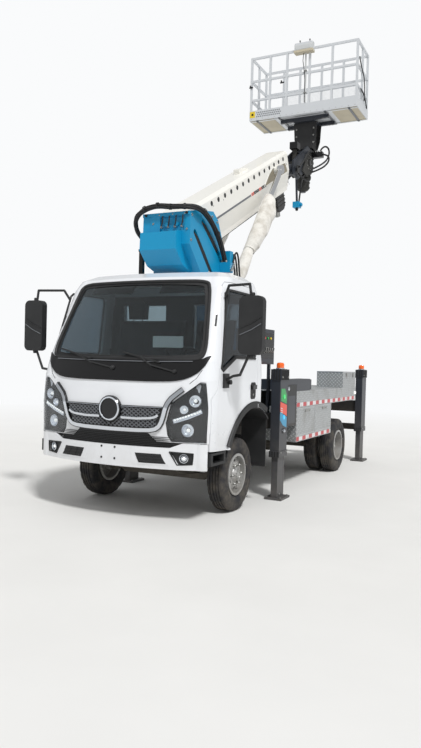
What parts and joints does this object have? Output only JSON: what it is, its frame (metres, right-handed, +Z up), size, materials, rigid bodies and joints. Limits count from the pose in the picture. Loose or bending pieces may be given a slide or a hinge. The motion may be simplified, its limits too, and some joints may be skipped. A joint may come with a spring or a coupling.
{
  "type": "cherry picker truck",
  "caption": "Cab-over light truck carrying a slewing turret, a telescopic lifting boom with a levelled work basket, and sliding outriggers.",
  "frame": {"origin": "on the ground, under the middle of the whole machine's bounding box", "axes": "+X to the truck's left, +Y to its rear, +Z up"},
  "size_m": [2.87, 6.016, 6.9],
  "materials": {
    "tyre_rubber": "matt",
    "wheel_silver": "satin",
    "frame_black": "satin",
    "cast_grey": "matt",
    "cab_white": "gloss",
    "glass": "gloss",
    "lamp_glass": "gloss",
    "grille_black": "gloss",
    "trim_black": "matt",
    "seat_cloth": "matt",
    "deck_alloy": "brushed",
    "charcoal": "satin",
    "turret_blue": "gloss",
    "boom_white": "gloss",
    "rod_chrome": "polished",
    "sleeve_cloth": "matt",
    "hose_rubber": "matt",
    "basket_alloy": "satin"
  },
  "bodies": {
    "truck": {"chassis_frame": "frame_black", "subframe": "frame_black", "axles": "cast_grey", "engine_block": "cast_grey", "cab_shell": "cab_white", "cab_glass": "glass", "grille": "grille_black", "lamps": "lamp_glass", "bumper": "cab_white", "dashboard": "trim_black", "seats": "seat_cloth", "wheel_arches": "trim_black", "deck": "deck_alloy", "side_lockers": "deck_alloy", "control_cabinet": "charcoal", "slew_base": "charcoal"},
    "turret": {"turret": "turret_blue", "turret_hoses": "hose_rubber"},
    "boom_base": {"boom_base": "boom_white"},
    "boom_inner": {"boom_inner": "boom_white"},
    "boom_tip": {"boom_tip": "charcoal"},
    "lift_barrels": {"lift_barrels": "charcoal", "cylinder_sleeves": "sleeve_cloth"},
    "lift_rods": {"lift_rods": "rod_chrome"},
    "levelling_head": {"levelling_head": "charcoal"},
    "basket": {"basket_column": "charcoal", "basket": "basket_alloy"},
    "knuckle_left": {"knuckle_left": "cast_grey"},
    "front_wheel_left": {"front_rim_left": "wheel_silver", "front_tyre_left": "tyre_rubber"},
    "rear_wheel_left": {"rear_rims_left": "wheel_silver", "rear_tyres_left": "tyre_rubber"},
    "door_left": {"door_left": "cab_white", "door_glass_left": "glass", "mirror_left": "trim_black"},
    "knuckle_right": {"knuckle_right": "cast_grey"},
    "front_wheel_right": {"front_rim_right": "wheel_silver", "front_tyre_right": "tyre_rubber"},
    "rear_wheel_right": {"rear_rims_right": "wheel_silver", "rear_tyres_right": "tyre_rubber"},
    "door_right": {"door_right": "cab_white", "door_glass_right": "glass", "mirror_right": "trim_black"},
    "outrigger_beam_front_left": {"outrigger_beam_front_left": "charcoal"},
    "outrigger_leg_front_left": {"outrigger_leg_front_left": "charcoal"},
    "outrigger_beam_front_right": {"outrigger_beam_front_right": "charcoal"},
    "outrigger_leg_front_right": {"outrigger_leg_front_right": "charcoal"},
    "outrigger_beam_rear_left": {"outrigger_beam_rear_left": "charcoal"},
    "outrigger_leg_rear_left": {"outrigger_leg_rear_left": "charcoal"},
    "outrigger_beam_rear_right": {"outrigger_beam_rear_right": "charcoal"},
    "outrigger_leg_rear_right": {"outrigger_leg_rear_right": "charcoal"}
  },
  "joints": [
    {"name": "steer_left", "type": "hinge", "parent": "truck", "child": "knuckle_left", "pos_m": [0.64, -1.9025, 0.391], "axis": [0, 0, 1], "range_deg": [-38, 38]},
    {"name": "front_wheel_spin_left", "type": "hinge", "parent": "knuckle_left", "child": "front_wheel_left", "pos_m": [0.809, -1.9025, 0.391], "axis": [1, 0, 0], "continuous": true},
    {"name": "rear_wheel_spin_left", "type": "hinge", "parent": "truck", "child": "rear_wheel_left", "pos_m": [0.821, 1.4635, 0.391], "axis": [1, 0, 0], "continuous": true},
    {"name": "door_swing_left", "type": "hinge", "parent": "truck", "child": "door_left", "pos_m": [1.004, -2.7885, 1.5], "axis": [0, 0, -1], "range_deg": [0, 70]},
    {"name": "steer_right", "type": "hinge", "parent": "truck", "child": "knuckle_right", "pos_m": [-0.64, -1.9025, 0.391], "axis": [0, 0, 1], "range_deg": [-38, 38]},
    {"name": "front_wheel_spin_right", "type": "hinge", "parent": "knuckle_right", "child": "front_wheel_right", "pos_m": [-0.809, -1.9025, 0.391], "axis": [1, 0, 0], "continuous": true},
    {"name": "rear_wheel_spin_right", "type": "hinge", "parent": "truck", "child": "rear_wheel_right", "pos_m": [-0.821, 1.4635, 0.391], "axis": [1, 0, 0], "continuous": true},
    {"name": "door_swing_right", "type": "hinge", "parent": "truck", "child": "door_right", "pos_m": [-1.004, -2.7885, 1.5], "axis": [0, 0, 1], "range_deg": [0, 70]},
    {"name": "outrigger_out_front_left", "type": "slide", "parent": "truck", "child": "outrigger_beam_front_left", "axis": [1, 0, 0], "range_m": [0, 0.6]},
    {"name": "outrigger_lift_front_left", "type": "slide", "parent": "outrigger_beam_front_left", "child": "outrigger_leg_front_left", "axis": [0, 0, 1], "range_m": [0, 0.42]},
    {"name": "outrigger_out_front_right", "type": "slide", "parent": "truck", "child": "outrigger_beam_front_right", "axis": [-1, 0, 0], "range_m": [0, 0.6]},
    {"name": "outrigger_lift_front_right", "type": "slide", "parent": "outrigger_beam_front_right", "child": "outrigger_leg_front_right", "axis": [0, 0, 1], "range_m": [0, 0.42]},
    {"name": "outrigger_out_rear_left", "type": "slide", "parent": "truck", "child": "outrigger_beam_rear_left", "axis": [1, 0, 0], "range_m": [0, 0.6]},
    {"name": "outrigger_lift_rear_left", "type": "slide", "parent": "outrigger_beam_rear_left", "child": "outrigger_leg_rear_left", "axis": [0, 0, 1], "range_m": [0, 0.42]},
    {"name": "outrigger_out_rear_right", "type": "slide", "parent": "truck", "child": "outrigger_beam_rear_right", "axis": [-1, 0, 0], "range_m": [0, 0.6]},
    {"name": "outrigger_lift_rear_right", "type": "slide", "parent": "outrigger_beam_rear_right", "child": "outrigger_leg_rear_right", "axis": [0, 0, 1], "range_m": [0, 0.42]},
    {"name": "turret_slew", "type": "hinge", "parent": "truck", "child": "turret", "pos_m": [0, -0.7025, 1.33], "axis": [0, 0, 1], "continuous": true},
    {"name": "boom_lift", "type": "hinge", "parent": "turret", "child": "boom_base", "pos_m": [0, -1.6025, 3.06], "axis": [1, 0, 0], "range_deg": [-27, 46]},
    {"name": "telescope_inner", "type": "slide", "parent": "boom_base", "child": "boom_inner", "axis": [0, 0.8926, 0.4509], "range_m": [0, 2]},
    {"name": "telescope_tip", "type": "slide", "parent": "boom_inner", "child": "boom_tip", "axis": [0, 0.8926, 0.4509], "range_m": [0, 2]},
    {"name": "lift_barrel_pivot", "type": "hinge", "parent": "turret", "child": "lift_barrels", "pos_m": [0, -1.0115, 2.15], "axis": [1, 0, 0], "range_deg": [-24, 40]},
    {"name": "lift_rod_slide", "type": "slide", "parent": "lift_barrels", "child": "lift_rods", "axis": [0, 0.6266, 0.7793], "range_m": [-0.46, 0.78]},
    {"name": "basket_level", "type": "hinge", "parent": "boom_tip", "child": "levelling_head", "pos_m": [0, 1.8425, 4.7], "axis": [1, 0, 0], "range_deg": [-47, 28]},
    {"name": "basket_swing", "type": "hinge", "parent": "levelling_head", "child": "basket", "pos_m": [0, 2.6575, 5.21], "axis": [0, 0, 1], "range_deg": [-90, 90]}
  ],
  "couplings": [
    {"joint": "steer_right", "follows": "steer_left", "ratio": 1},
    {"joint": "telescope_tip", "follows": "telescope_inner", "ratio": 1},
    {"joint": "lift_barrel_pivot", "follows": "boom_lift", "ratio": 0.845},
    {"joint": "lift_rod_slide", "follows": "boom_lift", "m_per_rad": 0.95},
    {"joint": "basket_level", "follows": "boom_lift", "ratio": -1}
  ]
}
